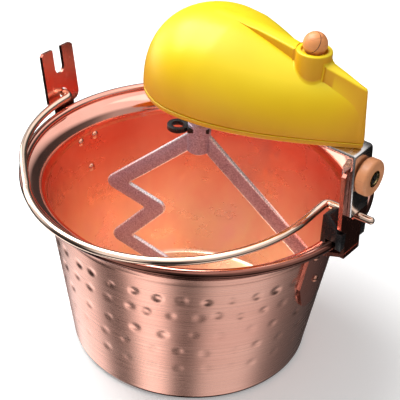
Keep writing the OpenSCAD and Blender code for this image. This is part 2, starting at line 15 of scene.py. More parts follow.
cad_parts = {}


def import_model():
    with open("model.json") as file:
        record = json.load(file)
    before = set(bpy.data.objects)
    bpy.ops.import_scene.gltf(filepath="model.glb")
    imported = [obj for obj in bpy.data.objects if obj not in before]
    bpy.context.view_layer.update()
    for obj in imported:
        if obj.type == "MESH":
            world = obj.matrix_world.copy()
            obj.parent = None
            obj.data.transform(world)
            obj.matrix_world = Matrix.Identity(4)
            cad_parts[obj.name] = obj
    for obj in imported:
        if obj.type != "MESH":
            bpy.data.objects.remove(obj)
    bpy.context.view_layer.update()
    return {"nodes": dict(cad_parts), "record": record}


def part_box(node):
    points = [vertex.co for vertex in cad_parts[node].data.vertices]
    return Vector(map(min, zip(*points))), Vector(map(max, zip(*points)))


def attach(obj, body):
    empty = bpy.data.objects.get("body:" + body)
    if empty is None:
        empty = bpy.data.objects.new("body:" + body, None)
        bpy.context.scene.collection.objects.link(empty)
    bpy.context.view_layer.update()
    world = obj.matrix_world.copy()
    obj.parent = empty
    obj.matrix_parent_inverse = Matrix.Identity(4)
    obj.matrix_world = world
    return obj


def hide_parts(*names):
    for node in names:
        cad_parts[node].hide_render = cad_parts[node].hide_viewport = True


MM = 0.001

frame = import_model()


def box_mm(node):
    """Lowest and highest corner of a CAD node, in millimetres."""
    low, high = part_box(node)
    return low / MM, high / MM


# ---- dimensions, in millimetres ---------------------------------------------

RIM_R, POT_H = 130.0, 150.0
BASE_R, TAPER, SHEET, BEAD_R = 94.0, 0.15, 1.2, 3.5
CORNER_R, FLARE_R, FLARE_END = 5.0, 16.25, 80.0
FLARE_Z = POT_H - 18
CREASE_Z = POT_H - 23

HEAD_Z = box_mm("lower_cover")[0].z
PART_Z = box_mm("upper_housing")[0].z
BULB_X, BULB_R, NOSE_X, NOSE_R = 14.0, 53.0, 135.0, 3.0
CROWN_H, CROWN_X, SHELL = 56.0, 30.0, 2.5
ROUND_BULGE, NOSE_BULGE = 2.3, 1.4
SPINE_X, SPINE_START, SPINE_W, SPINE_END = 95.0, 5.5, 6.5, 1.8
BOSS_X, BOSS_R, BOSS_Z = 90.0, 12.2, POT_H + 131
BALL_R, BALL_Z = 8.3, POT_H + 135
CUP_GAP, CUP_DEPTH = 0.6, 6.5

ROD_R, PIN_OUT, BEND_R = 3.0, 152.0, 4.5
EYE_LEFT, EYE_RIGHT = 131.0, 113.4
BAIL_LOW, BAIL_RISE, BAIL_SPAN, BAIL_DROP = 162.0, 9.5, 276.0, 3.6

BAR_W, BAR_T, PADDLE_TURN = 12.5, 4.0, 18.0
ZIGZAG = [(-3, 176), (-67, 120), (-31, 105), (-62, 70), (-25, 54), (-62, 14), (76, 14), (89, 96),
          (3, 177)]
HUB_R, HUB_Z, HUB_H, CLIP_TURN = 8.75, 166.0, 24.0, -142.0
HUB_BORE, HUB_FLOOR = 5.1, 4.0
SLOT_LENGTH, SLOT_WIDTH, SLOT_PLAY = 40.0, 14.8, 0.2


def wall(z):
    """Outer radius of the pot's wall at a height."""
    return BASE_R + TAPER * z


# ---- mesh helpers -----------------------------------------------------------


def skin(rings, loop=False, caps=False):
    """Points and faces of the skin through equal rings of points."""
    rings = np.asarray(rings, float)
    count, sides = rings.shape[:2]
    index = np.arange(count * sides).reshape(count, sides)
    a = index if loop else index[:-1]
    b = np.roll(index, -1, 0) if loop else index[1:]
    quads = np.stack([a, np.roll(a, -1, 1), np.roll(b, -1, 1), b], -1).reshape(-1, 4)
    faces = quads.tolist()
    if caps:
        faces.append(index[0, ::-1].tolist())
        faces.append(index[-1].tolist())
    return rings.reshape(-1, 3), faces


def lathe(profile, steps=96, origin=(0, 0, 0), axis="Z", loop=False):
    """Skin of a (radius, height) profile turned about an axis through origin."""
    turn = np.linspace(0, 2 * math.pi, steps, endpoint=False)
    rings = []
    for radius, height in profile:
        across, up = radius * np.cos(turn), radius * np.sin(turn)
        along = np.full(steps, float(height))
        parts = (across, up, along) if axis == "Z" else (along, across, up)
        rings.append(np.stack(parts, -1) + np.array(origin, float))
    return skin(rings, loop)


def arc(centre, radius, start, end, steps):
    """(radius, height) points on an arc, in degrees."""
    angles = np.radians(np.linspace(start, end, steps + 1))
    return [(centre[0] + radius * math.cos(a), centre[1] + radius * math.sin(a)) for a in angles]


def cleaned(shells, weld=1e-3):
    """One bmesh, in millimetres, of shells given as (points, faces, material index)."""
    bm = bmesh.new()
    for points, faces, mark in shells:
        verts = [bm.verts.new(p) for p in points]
        marks = mark if isinstance(mark, (list, tuple)) else [mark] * len(faces)
        for face, number in zip(faces, marks, strict=True):
            made = bm.faces.new([verts[i] for i in face])
            made.material_index = number
        bmesh.ops.remove_doubles(bm, verts=verts, dist=weld)
    bmesh.ops.dissolve_degenerate(bm, edges=bm.edges, dist=weld)
    bmesh.ops.recalc_face_normals(bm, faces=bm.faces)
    return bm


def piece(name, shells, materials, body, nodes=(), sharp=32):
    """A smooth-shaded object from shells; it rides on a body and stands for CAD nodes."""
    bm = shells if isinstance(shells, bmesh.types.BMesh) else cleaned(shells)
    bmesh.ops.scale(bm, vec=(MM, MM, MM), verts=bm.verts)
    mesh = bpy.data.meshes.new(name)
    bm.to_mesh(mesh)
    bm.free()
    for material in materials:
        mesh.materials.append(material)
    mesh.shade_smooth()
    mesh.set_sharp_from_angle(angle=math.radians(sharp))
    made = bpy.data.objects.new(name, mesh)
    bpy.context.scene.collection.objects.link(made)
    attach(made, body)
    if nodes:
        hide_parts(*nodes)
    return made


def round_edges(bm, width, segments=2, over=35):
    """Rounds every edge whose faces meet at more than an angle, in degrees."""
    limit = math.radians(over)
    edges = [e for e in bm.edges if len(e.link_faces) == 2 and e.calc_face_angle(0) > limit]
    bmesh.ops.bevel(bm, geom=edges, offset=width, offset_type="OFFSET", segments=segments,
                    profile=0.5, affect="EDGES", clamp_overlap=True)
    bmesh.ops.recalc_face_normals(bm, faces=bm.faces)
    return bm


def from_node(node):
    """A CAD node's shape as a clean bmesh, in millimetres."""
    source = frame["nodes"][node].data
    points = [v.co / MM for v in source.vertices]
    faces = [tuple(p.vertices) for p in source.polygons]
    bm = bmesh.new()
    verts = [bm.verts.new(p) for p in points]
    for face in faces:
        bm.faces.new([verts[i] for i in face])
    bmesh.ops.remove_doubles(bm, verts=bm.verts, dist=2e-3)
    bmesh.ops.dissolve_degenerate(bm, edges=bm.edges, dist=1e-3)
    bmesh.ops.dissolve_limit(bm, angle_limit=math.radians(0.6), verts=bm.verts, edges=bm.edges)
    bmesh.ops.recalc_face_normals(bm, faces=bm.faces)
    return bm


def refined(node, width, body, slot, segments=2):
    """A CAD node's shape with rounded edges, which stands for that node."""
    bm = round_edges(from_node(node), width, segments)
    return piece(node + "_finished", bm, [MATERIALS[slot]], body, [node], sharp=40)


# ---- materials --------------------------------------------------------------


def blank(name):
    """A material, its tree and its main shader."""
    material = bpy.data.materials.new(name)
    material.use_nodes = True
    tree = material.node_tree
    return material, tree, tree.nodes["Principled BSDF"]


def noise(tree, scale, detail=3.0, roughness=0.5):
    """Noise in object space with a scale per axis, in cells per metre."""
    place = tree.nodes.new("ShaderNodeTexCoord")
    stretch = tree.nodes.new("ShaderNodeMapping")
    stretch.inputs["Scale"].default_value = scale
    made = tree.nodes.new("ShaderNodeTexNoise")
    made.inputs["Scale"].default_value = 1.0
    made.inputs["Detail"].default_value = detail
    made.inputs["Roughness"].default_value = roughness
    tree.links.new(place.outputs["Object"], stretch.inputs["Vector"])
    tree.links.new(stretch.outputs["Vector"], made.inputs["Vector"])
    return made.outputs["Fac"]


def spread(tree, value, low, high, to_low=0.0, to_high=1.0):
    """Maps a value from one range to another, held at the ends."""
    made = tree.nodes.new("ShaderNodeMapRange")
    limits = (("From Min", low), ("From Max", high), ("To Min", to_low), ("To Max", to_high))
    for socket, number in limits:
        made.inputs[socket].default_value = number
    tree.links.new(value, made.inputs["Value"])
    return made.outputs["Result"]


def ramp(tree, value, colours, low=0.3, high=0.7):
    """Colours spread evenly over a value from low to high."""
    made = tree.nodes.new("ShaderNodeValToRGB")
    stops = made.color_ramp.elements
    while len(stops) < len(colours):
        stops.new(0.5)
    for i, colour in enumerate(colours):
        stops[i].position = low + (high - low) * i / max(len(colours) - 1, 1)
        stops[i].color = (*colour, 1)
    tree.links.new(value, made.inputs["Fac"])
    return made.outputs["Color"]


def mix(tree, share, a, b, mode="MIX"):
    """Mixes two colours; each is a socket or a plain colour, and so is the share."""
    made = tree.nodes.new("ShaderNodeMix")
    made.data_type = "RGBA"
    made.blend_type = mode
    for socket, value in ((made.inputs[0], share), (made.inputs[6], a), (made.inputs[7], b)):
        if isinstance(value, bpy.types.NodeSocket):
            tree.links.new(value, socket)
        else:
            socket.default_value = value if isinstance(value, float) else (*value, 1)
    return made.outputs[2]


def bump(tree, shader, height, depth):
    """Raises the surface by a height from 0 to 1, depth in millimetres."""
    made = tree.nodes.new("ShaderNodeBump")
    made.inputs["Strength"].default_value = 1.0
    made.inputs["Distance"].default_value = depth * MM
    tree.links.new(height, made.inputs["Height"])
    if shader.inputs["Normal"].is_linked:
        tree.links.new(shader.inputs["Normal"].links[0].from_socket, made.inputs["Normal"])
    tree.links.new(made.outputs["Normal"], shader.inputs["Normal"])


def surface(name, colours, rough, metallic=0.0, patch=(40, 40, 40), grain=(500, 500, 500), depth=0.02):
    """Base material: patches of colour, and a grain that varies the gloss and raises the surface."""
    material, tree, shader = blank(name)
    shader.inputs["Metallic"].default_value = metallic
    fine = noise(tree, grain, 4)
    tree.links.new(ramp(tree, noise(tree, patch), colours), shader.inputs["Base Color"])
    tree.links.new(spread(tree, fine, 0.3, 0.7, *rough), shader.inputs["Roughness"])
    bump(tree, shader, fine, depth)
    return material


def height_share(tree, low, high):
    """0 below one height and 1 above another, in millimetres."""
    place = tree.nodes.new("ShaderNodeTexCoord")
    parts = tree.nodes.new("ShaderNodeSeparateXYZ")
    tree.links.new(place.outputs["Object"], parts.inputs["Vector"])
    return spread(tree, parts.outputs["Z"], low * MM, high * MM)


def upward(tree, low, high):
    """0 on faces that look sideways and 1 on faces that look up."""
    shape = tree.nodes.new("ShaderNodeNewGeometry")
    parts = tree.nodes.new("ShaderNodeSeparateXYZ")
    tree.links.new(shape.outputs["Normal"], parts.inputs["Vector"])
    return spread(tree, parts.outputs["Z"], low, high)


def add_tangent(tree, shader, amount):
    """Stretches the highlight round the Z axis, as brushing does."""
    made = tree.nodes.new("ShaderNodeTangent")
    made.direction_type = "RADIAL"
    made.axis = "Z"
    shader.inputs["Anisotropic"].default_value = amount
    tree.links.new(made.outputs["Tangent"], shader.inputs["Tangent"])


def brushed_copper():
    """The pot's outer wall: fine lines brushed round it."""
    material = surface("copper_brushed", [(0.86, 0.43, 0.34), (0.90, 0.50, 0.40)],
                       (0.20, 0.30), 1.0, patch=(9, 9, 20), grain=(4, 4, 1500), depth=0.006)
    tree, shader = material.node_tree, material.node_tree.nodes["Principled BSDF"]
    lines = noise(tree, (2, 2, 1300), 3, 0.5)
    colour = shader.inputs["Base Color"].links[0].from_socket
    tree.links.new(mix(tree, spread(tree, lines, 0.35, 0.65, 0.0, 0.22), colour, (0.62, 0.27, 0.19)),
                   shader.inputs["Base Color"])
    add_tangent(tree, shader, 0.45)
    return material


def inside_copper_painted_reflection():
    """The pot's inside: smeared polish, with painted reflection: redder near the rim and more orange near
    the base, standing for light the copper bounces onto itself.
    """
    material, tree, shader = blank("copper_inside")
    shader.inputs["Metallic"].default_value = 0.8
    red = ramp(tree, noise(tree, (18, 18, 26), 3), [(0.90, 0.20, 0.13), (0.94, 0.32, 0.22)])
    warm = ramp(tree, noise(tree, (26, 26, 20), 4),
                [(0.97, 0.56, 0.42), (0.99, 0.72, 0.50), (0.98, 0.64, 0.55)])
    # Painted reflection: red near the rim blends into warm orange near the base, by height
    tree.links.new(mix(tree, height_share(tree, 35, 120), warm, red), shader.inputs["Base Color"])
    smear = noise(tree, (22, 22, 40), 5, 0.6)
    tree.links.new(spread(tree, smear, 0.3, 0.7, 0.20, 0.42), shader.inputs["Roughness"])
    bump(tree, shader, noise(tree, (24, 24, 24), 1), 0.12)
    bump(tree, shader, noise(tree, (60, 60, 900), 3), 0.012)
    return material


def wood(name, light, dark, axis_scale):
    """Fine straight grain with faint pores, lacquered."""
    material, tree, shader = blank(name)
    streaks = noise(tree, axis_scale, 6, 0.65)
    pores = noise(tree, tuple(s * 5 for s in axis_scale), 3, 0.6)
    base = ramp(tree, streaks, [dark, light, tuple(c * 0.93 for c in light)], 0.3, 0.68)
    tree.links.new(mix(tree, spread(tree, pores, 0.58, 0.72, 0.0, 0.35), base, dark),
                   shader.inputs["Base Color"])
    tree.links.new(spread(tree, streaks, 0.3, 0.7, 0.34, 0.5), shader.inputs["Roughness"])
    shader.inputs["Coat Weight"].default_value = 0.25
    shader.inputs["Coat Roughness"].default_value = 0.25
    bump(tree, shader, pores, 0.02)
    return material


def yellow_plastic():
    """Painted light and shade: lighter yellow on faces that look up, darker orange on the sides as painted
    shade and painted copper-coloured bounce light; a faint moulded texture.
    """
    material, tree, shader = blank("plastic_yellow")
    top = ramp(tree, noise(tree, (25, 25, 25), 2), [(0.92, 0.66, 0.006), (0.95, 0.71, 0.010)])
    side = ramp(tree, noise(tree, (30, 30, 30), 2), [(0.66, 0.27, 0.002), (0.74, 0.32, 0.003)])
    # Painted light and shade: the colour is mixed by how far each face looks up
    tree.links.new(mix(tree, upward(tree, 0.0, 0.66), side, top), shader.inputs["Base Color"])
    fine = noise(tree, (900, 900, 900), 3)
    tree.links.new(spread(tree, fine, 0.3, 0.7, 0.30, 0.38), shader.inputs["Roughness"])
    bump(tree, shader, fine, 0.012)
    shader.inputs["Specular IOR Level"].default_value = 0.4
    return material


def cast_aluminium():
    """Sparkling grain of a sand-blasted casting."""
    material, tree, shader = blank("aluminium_cast")
    shader.inputs["Metallic"].default_value = 0.4
    cells = tree.nodes.new("ShaderNodeTexVoronoi")
    cells.inputs["Scale"].default_value = 1400
    place = tree.nodes.new("ShaderNodeTexCoord")
    tree.links.new(place.outputs["Object"], cells.inputs["Vector"])
    flecks = spread(tree, cells.outputs["Color"], 0.15, 0.9)
    base = ramp(tree, noise(tree, (60, 60, 60), 3), [(0.35, 0.24, 0.32), (0.47, 0.34, 0.43)])
    tree.links.new(mix(tree, flecks, base, (0.70, 0.60, 0.70)), shader.inputs["Base Color"])
    tree.links.new(spread(tree, flecks, 0.0, 1.0, 0.55, 0.34), shader.inputs["Roughness"])
    bump(tree, shader, noise(tree, (1100, 1100, 1100), 2), 0.12)
    return material


def make_materials():
    """One finished material for each slot of the record."""
    steel = ((0.50, 0.50, 0.52), (0.66, 0.65, 0.66))
    made = {
        "copper_sheet": brushed_copper(),
        "steel_wire": surface("steel_wire", steel, (0.3, 0.5), 1.0),
        "copper_plate": surface("copper_plate", [(0.74, 0.25, 0.18), (0.82, 0.34, 0.26)], (0.18, 0.28), 1.0,
                                patch=(30, 30, 30), grain=(120, 900, 120), depth=0.004),
        "copper_rivet": surface("copper_rivet", [(0.80, 0.33, 0.22), (0.90, 0.46, 0.34)], (0.14, 0.30), 1.0,
                                patch=(250, 250, 250), grain=(700, 700, 700), depth=0.05),
        "black_plastic": surface("plastic_black", [(0.006, 0.006, 0.007), (0.014, 0.013, 0.014)],
                                 (0.22, 0.38), grain=(900, 900, 900), depth=0.02),
        "bail_copper": surface("copper_plating", [(0.90, 0.62, 0.48), (0.96, 0.74, 0.60)], (0.05, 0.12), 1.0,
                               patch=(60, 60, 60), grain=(300, 300, 300), depth=0.01),
        "plated_steel": surface("plated_steel", [(0.60, 0.56, 0.55), (0.76, 0.72, 0.70)], (0.16, 0.30), 1.0,
                                patch=(60, 60, 60), grain=(900, 60, 60), depth=0.015),
        "screw_steel": surface("screw_steel", [(0.50, 0.50, 0.51), (0.70, 0.70, 0.71)], (0.2, 0.36), 1.0,
                               patch=(400, 400, 400), grain=(1200, 1200, 300), depth=0.03),
        "knob_wood": wood("wood_knob", (0.72, 0.29, 0.12), (0.52, 0.18, 0.07), (70, 70, 700)),
        "brass_insert": surface("brass", [(0.62, 0.44, 0.16), (0.78, 0.60, 0.26)], (0.18, 0.32), 1.0,
                                patch=(300, 300, 300), grain=(900, 900, 900), depth=0.02),
        "yellow_plastic": yellow_plastic(),
        "motor_steel": surface("motor_steel", steel, (0.25, 0.42), 1.0, patch=(120, 120, 120),
                               grain=(80, 80, 1200), depth=0.02),
        "shaft_steel": surface("shaft_steel", [(0.46, 0.46, 0.48), (0.62, 0.62, 0.64)], (0.12, 0.26), 1.0,
                               patch=(150, 150, 150), grain=(60, 60, 1800), depth=0.01),
        "gear_nylon": surface("nylon", [(0.76, 0.73, 0.62), (0.84, 0.82, 0.74)], (0.4, 0.55),
                              patch=(200, 200, 200), grain=(900, 900, 900), depth=0.02),
        "bronze_bush": surface("bronze", [(0.42, 0.25, 0.11), (0.60, 0.38, 0.20)], (0.28, 0.45), 1.0,
                               patch=(500, 500, 500), grain=(1500, 1500, 1500), depth=0.05),
        "seal_rubber": surface("rubber", [(0.012, 0.012, 0.012), (0.028, 0.027, 0.026)], (0.55, 0.75),
                               grain=(800, 800, 800), depth=0.03),
        "cast_aluminium": cast_aluminium(),
        "ball_wood": wood("wood_ball", (0.84, 0.32, 0.10), (0.60, 0.18, 0.05), (60, 60, 420)),
        "white_plastic": surface("plastic_white", [(0.74, 0.73, 0.68), (0.82, 0.81, 0.76)], (0.35, 0.5),
                                 grain=(900, 900, 900), depth=0.02),
    }
    return made


MATERIALS = make_materials()
COPPER_INSIDE = inside_copper_painted_reflection()
COPPER_POLISHED = surface("copper_polished", [(0.86, 0.40, 0.31), (0.90, 0.47, 0.37)], (0.06, 0.14), 1.0,
                          patch=(25, 25, 25), grain=(40, 40, 900), depth=0.01)
# Painted shade and painted dark reflection: a near-black copper laid under the flare, under the bead and
# round the base's outer corner
COPPER_PAINTED_SHADE = surface("copper_painted_shade", [(0.20, 0.075, 0.055), (0.30, 0.12, 0.09)], (0.12, 0.22), 1.0,
                           patch=(25, 25, 25), grain=(200, 200, 900), depth=0.01)
COPPER_GROUND = surface("copper_base", [(0.30, 0.13, 0.09), (0.45, 0.22, 0.16)], (0.35, 0.55), 1.0,
                        patch=(60, 60, 60), grain=(300, 300, 300), depth=0.05)
# Linished edges with a painted highlight: the base colour is far lighter than the casting's, standing for
# light catching the edges
BRIGHT_EDGE = surface("aluminium_linished_painted_highlight", [(0.82, 0.78, 0.82), (0.94, 0.92, 0.94)], (0.22, 0.34), 0.55,
                      patch=(120, 120, 120), grain=(900, 900, 900), depth=0.03)
GROOVE_DARK = surface("wood_groove", [(0.16, 0.06, 0.03), (0.24, 0.10, 0.05)], (0.6, 0.8),
                      patch=(300, 300, 300), grain=(900, 900, 900), depth=0.02)


# ---- pot --------------------------------------------------------------------

POT_STEPS = 400
OUTER_ROWS, INNER_ROWS = 88, 56
DIMPLE_R, DIMPLE_DEPTH = 4.8, 0.75
INSIDE_SHARE = 0.45  # how far a mark stands out inside, as a share of its depth outside
SHEET_MARK, INSIDE_MARK, POLISHED_MARK, GROUND_MARK, PAINTED_SHADE_MARK = range(5)
OUTER_WALL, INNER_WALL = 2, 7  # places of the two walls in the pot's list of parts
BEAD_PAINTED_SHADE, BEAD_BRIGHT = (217, 430), (438, 553)  # start and end of the painted shade under the bead and of the bead's polished top
# Each ring of hammer marks: height, number of marks, bearing of the first one in degrees
DIMPLE_ROWS = [(110, 39, -56), (93.5, 40, -60), (73, 31, -75), (55, 32, -57), (36.5, 32, -57)]


def hammer_marks():
    """(bearing, height, radius, depth) of every mark, a little uneven as hand work is."""
    rng = np.random.default_rng(7)
    marks = []
    for row, (height, count, first) in enumerate(DIMPLE_ROWS):
        fade = 1.0 - 0.16 * row
        for i in range(count):
            bearing = math.radians(first + 360 * i / count + rng.normal(0, 0.8))
            marks.append((bearing, height + rng.normal(0, 1.1), DIMPLE_R * rng.uniform(0.8, 1.1),
                          DIMPLE_DEPTH * fade * rng.uniform(0.55, 1.15)))
    return marks


def hammered(rings, low, high, side):
    """Presses the marks into rings low to high; the same marks stand out on the inside."""
    bearings = np.linspace(0, 2 * math.pi, POT_STEPS, endpoint=False)
    heights = rings[low:high, 0, 2]
    push = np.zeros((high - low, POT_STEPS))
    for bearing, height, radius, depth in hammer_marks():
        turn = (bearings - bearing + math.pi) % (2 * math.pi) - math.pi
        across = turn[None, :] * wall(height)
        distance = np.hypot(across, (heights - height)[:, None]) / radius
        push += depth * np.clip(1 - distance**2, 0, None) ** 1.5
    radius = np.hypot(rings[low:high, :, 0], rings[low:high, :, 1])
    share = 1 - push * side / radius
    rings[low:high, :, 0] *= share
    rings[low:high, :, 1] *= share


def pot():
    """The spun pot: base, hammered wall, flare and rolled bead, outside and inside."""
    lean = math.degrees(math.atan(TAPER))
    corner = (BASE_R - CORNER_R + 0.8, CORNER_R)
    base = [(0, 0), (30, 0), (60, 0), (80, 0)]
    outer_corner = arc(corner, CORNER_R, -90, -lean, 8)
    outer_wall = [(wall(z) - 0.35 * math.exp(-(((z - CREASE_Z) / 0.9) ** 2)), z)
                  for z in np.linspace(6, FLARE_Z - 1, OUTER_ROWS)]
    flare_x = wall(FLARE_Z) + FLARE_R
    angles = np.radians(np.linspace(0, FLARE_END, 17))
    outer_flare = [(flare_x - FLARE_R * math.cos(a), FLARE_Z + FLARE_R * math.sin(a)) for a in angles]
    bead_under = arc((RIM_R, POT_H), BEAD_R, *BEAD_PAINTED_SHADE, 19)
    bead_top = arc((RIM_R, POT_H), BEAD_R, *BEAD_BRIGHT, 13)
    inner_r = FLARE_R + SHEET
    inner_flare = [(flare_x - inner_r * math.cos(a), FLARE_Z + inner_r * math.sin(a)) for a in angles[::-1]]
    inner_wall = [(wall(z) - SHEET, z) for z in np.linspace(FLARE_Z - 1, 6, INNER_ROWS)]
    inner_corner = arc(corner, CORNER_R - SHEET, -lean, -90, 8)
    floor = [(r, SHEET) for r in (80, 60, 40, 20, 0)]
    parts = [base, outer_corner, outer_wall, outer_flare, bead_under, bead_top, inner_flare, inner_wall,
             inner_corner, floor]
    # The outer corner, the outer flare and the bead's underside take the painted shade; the other parts take
    # the copper's own finishes
    finishes_and_painted_shade = [GROUND_MARK, PAINTED_SHADE_MARK, SHEET_MARK, PAINTED_SHADE_MARK, PAINTED_SHADE_MARK, POLISHED_MARK,
                POLISHED_MARK, INSIDE_MARK, INSIDE_MARK, INSIDE_MARK]
    profile = [p for part in parts for p in part]
    marks = [f for part, f in zip(parts, finishes_and_painted_shade, strict=True) for _ in part]
    starts = np.cumsum([0] + [len(part) for part in parts])
    turn = np.linspace(0, 2 * math.pi, POT_STEPS, endpoint=False)
    circle = np.stack([np.cos(turn), np.sin(turn)], -1)
    rings = np.array([np.column_stack([circle * r, np.full(POT_STEPS, z)]) for r, z in profile])
    hammered(rings, starts[OUTER_WALL], starts[OUTER_WALL + 1], 1)
    hammered(rings, starts[INNER_WALL], starts[INNER_WALL + 1], INSIDE_SHARE)
    points, faces = skin(rings)
    face_marks = [m for m in marks[1:] for _ in range(POT_STEPS)]
    piece("pot_copper", [(points, faces, face_marks)],
          [MATERIALS["copper_sheet"], COPPER_INSIDE, COPPER_POLISHED, COPPER_GROUND, COPPER_PAINTED_SHADE],
          "pot", ["pot_body"], sharp=50)


# ---- bail -------------------------------------------------------------------


def loop_arc(centre, radii, start, end, steps):
    """(x, y) points on an elliptical arc of the bail, in degrees from its lowest point."""
    angles = np.radians(np.linspace(start, end, steps + 1))
    return [(centre[0] + radii[0] * math.sin(a), centre[1] - radii[1] * math.cos(a)) for a in angles]


def bail():
    """One bent rod with round ends: pin, bend, three arcs, bend, pin."""
    quarter = np.radians(np.linspace(0, 90, 9))

    def bend(x, side):
        return [(x + side * BEND_R * (1 - math.cos(a)), -BEND_R + BEND_R * math.sin(a)) for a in quarter]

    path = [(-PIN_OUT, 0), (-(PIN_OUT + EYE_LEFT) / 2, 0)] + bend(-EYE_LEFT, -1)[::-1]
    path += loop_arc((-22, -8), (109, 109), -90, -43, 24)
    path += loop_arc((244.7, 277.9), (500, 500), -43, -39, 6)[1:]
    path += loop_arc((1.8, -23.9), (111.6, 114), -39, 90, 60)[1:]
    path += bend(EYE_RIGHT, 1)[1:] + [((PIN_OUT + EYE_RIGHT) / 2, 0), (PIN_OUT, 0)]
    path = np.array([p for i, p in enumerate(path) if i == 0 or math.dist(p, path[i - 1]) > 0.3])
    along = np.gradient(path, axis=0)
    along /= np.linalg.norm(along, axis=1)[:, None]
    sides = np.linspace(0, 2 * math.pi, 24, endpoint=False)
    rings = []

    def ring(point, way, radius):
        across = np.array([way[1], -way[0]])
        flat = point + np.outer(np.cos(sides) * radius, across)
        rings.append(np.column_stack([flat, np.sin(sides) * radius]))

    ends = np.radians([75, 50, 25])
    for a in ends:
        ring(path[0] + along[0] * ROD_R * (1 - math.sin(a)), along[0], ROD_R * math.cos(a))
    for point, way in zip(path[1:-1], along[1:-1], strict=True):
        ring(point, way, ROD_R)
    for a in ends[::-1]:
        ring(path[-1] - along[-1] * ROD_R * (1 - math.sin(a)), along[-1], ROD_R * math.cos(a))
    tilt = math.atan(BAIL_RISE / BAIL_SPAN)
    place = (Matrix.Translation((0, 0, BAIL_LOW + BAIL_RISE / 2)) @ Matrix.Rotation(-tilt, 4, "Y")
             @ Matrix.Rotation(math.radians(BAIL_DROP), 4, "X"))
    points, faces = skin(rings, caps=True)
    points = [place @ Vector(p) for p in points]
    piece("bail_rod", [(points, faces, 0)], [MATERIALS["bail_copper"]], "bail",
          ["bail_handle"])


# ---- housing ----------------------------------------------------------------


def half_width(t, r):
    return NOSE_R + (r - NOSE_R) * math.cos(math.radians(90 * t))


def plan(inset, round_steps=40, side_steps=64, nose_steps=6):
    """Corners of the housing's plan as (x, y, x of the centre line each belongs to)."""
    half = []
    for a in np.radians(np.linspace(180, 270, round_steps + 1)):
        half.append((BULB_X + (BULB_R - inset) * math.cos(a), (BULB_R - inset) * math.sin(a), BULB_X))
    for t in np.linspace(0, 1, side_steps + 1)[1:]:
        x = BULB_X + (NOSE_X - NOSE_R - BULB_X) * t
        half.append((x, -max(half_width(t, BULB_R) - inset, 0.8), x))
    tip = NOSE_X - NOSE_R
    small = max(NOSE_R - inset, 0.8)
    for a in np.radians(np.linspace(-90, 0, nose_steps + 1))[1:]:
        half.append((tip + small * math.cos(a), small * math.sin(a), tip))
    mirrored = [(x, -y, c) for x, y, c in half[-2:0:-1]]
    return np.array(half + mirrored)


def crown(x):
    """Height of the shell beside the spine, above the parting line."""
    return CROWN_H - 0.16 * np.clip(x - CROWN_X, 0, None) ** 1.1


def bulge(x):
    """How square the housing's cross-section is: round at the back, nearer a ridge at the nose."""
    return ROUND_BULGE + (NOSE_BULGE - ROUND_BULGE) * (x - BULB_X) / (NOSE_X - NOSE_R - BULB_X)


def spine_step(x, foot):
    """How far the spine's top stands over its foot; it fades out over the round end."""
    ridge = CROWN_H + 0.4 - 0.00125 * (x - BULB_X) ** 2
    return np.maximum(ridge - foot, 0.4) * np.clip((x - BULB_X - 8) / 24, 0, 1)


def spine_half(x):
    """Half width of the spine, widest beside the button's boss."""
    before = SPINE_START + (SPINE_W - SPINE_START) * (x - CROWN_X) / (SPINE_X - CROWN_X)
    after = SPINE_W - (SPINE_W - SPINE_END) * (x - SPINE_X) / (NOSE_X - SPINE_X)
    return np.where(x < SPINE_X, before, after)


def dome_rings(inset, rows, start, foot):
    """Rings of the superelliptic dome from its base angle to the angle at the spine's foot."""
    base = plan(inset)
    power = 2 / bulge(base[:, 2])
    rings = []
    for k in range(rows + 1):
        a = start + (foot - start) * (k / rows)
        pull = np.cos(a) ** power
        lift = (crown(base[:, 2]) - inset) * np.sin(a) ** power
        across = base[:, 2] + (base[:, 0] - base[:, 2]) * pull
        rings.append(np.stack([across, base[:, 1] * pull, PART_Z + lift], -1))
    return rings


def shrunk(ring, centre_x, radius, height):
    """A ring drawn in towards the centre line to a radius, at a height."""
    out = np.stack([ring[:, 0] - centre_x, ring[:, 1]], -1)
    reach = np.maximum(np.linalg.norm(out, axis=1), 1e-9)
    return np.stack([centre_x + out[:, 0] / reach * radius, out[:, 1] / reach * radius, height], -1)


def surface_height(x, y):
    """Height of the housing's outside over a point beside or on the spine."""
    t = np.clip((x - BULB_X) / (NOSE_X - NOSE_R - BULB_X), 0, 1)
    width = NOSE_R + (BULB_R - NOSE_R) * np.cos(np.radians(90 * t))
    share = np.clip(np.abs(y) / width, 0, 1)
    power = bulge(x)
    shell = crown(x) * (1 - share**power) ** (1 / power)
    edge = spine_half(x)
    at_foot = crown(x) * (1 - np.clip(edge / width, 0, 1) ** power) ** (1 / power)
    on_spine = at_foot + spine_step(x, at_foot)
    return PART_Z + np.where(np.abs(y) < edge, on_spine, shell)


def boss():
    """Round boss for the button: blended foot, rounded rim and a cup; it crosses the dome unmerged."""
    steps, blend, rim = 96, 1.8, 1.2
    turn = np.linspace(0, 2 * math.pi, steps, endpoint=False)
    rings = []

    def ring(radius, height):
        across, along = BOSS_X + radius * np.cos(turn), radius * np.sin(turn)
        rings.append(np.stack([across, along, height * np.ones(steps)], -1))

    inside_z = PART_Z + 28
    ring(0.0, inside_z)
    ring(BOSS_R - 1, inside_z)
    for a in np.radians(np.linspace(0, 90, 7)):
        radius = BOSS_R + blend * (1 - math.sin(a))
        ground = surface_height(BOSS_X + radius * np.cos(turn), radius * np.sin(turn))
        ring(radius, ground - 0.25 + (blend + 0.25) * (1 - math.cos(a)))
    ring(BOSS_R, BOSS_Z - rim)
    for a in np.radians([30, 60, 90]):
        ring(BOSS_R - rim * (1 - math.cos(a)), BOSS_Z - rim + rim * math.sin(a))
    seat = BALL_R + CUP_GAP
    ring(seat + 0.5, BOSS_Z)
    ring(seat, BOSS_Z - 0.5)
    ring(seat, BOSS_Z - CUP_DEPTH)
    ring(0.0, BOSS_Z - CUP_DEPTH)
    return skin(rings)


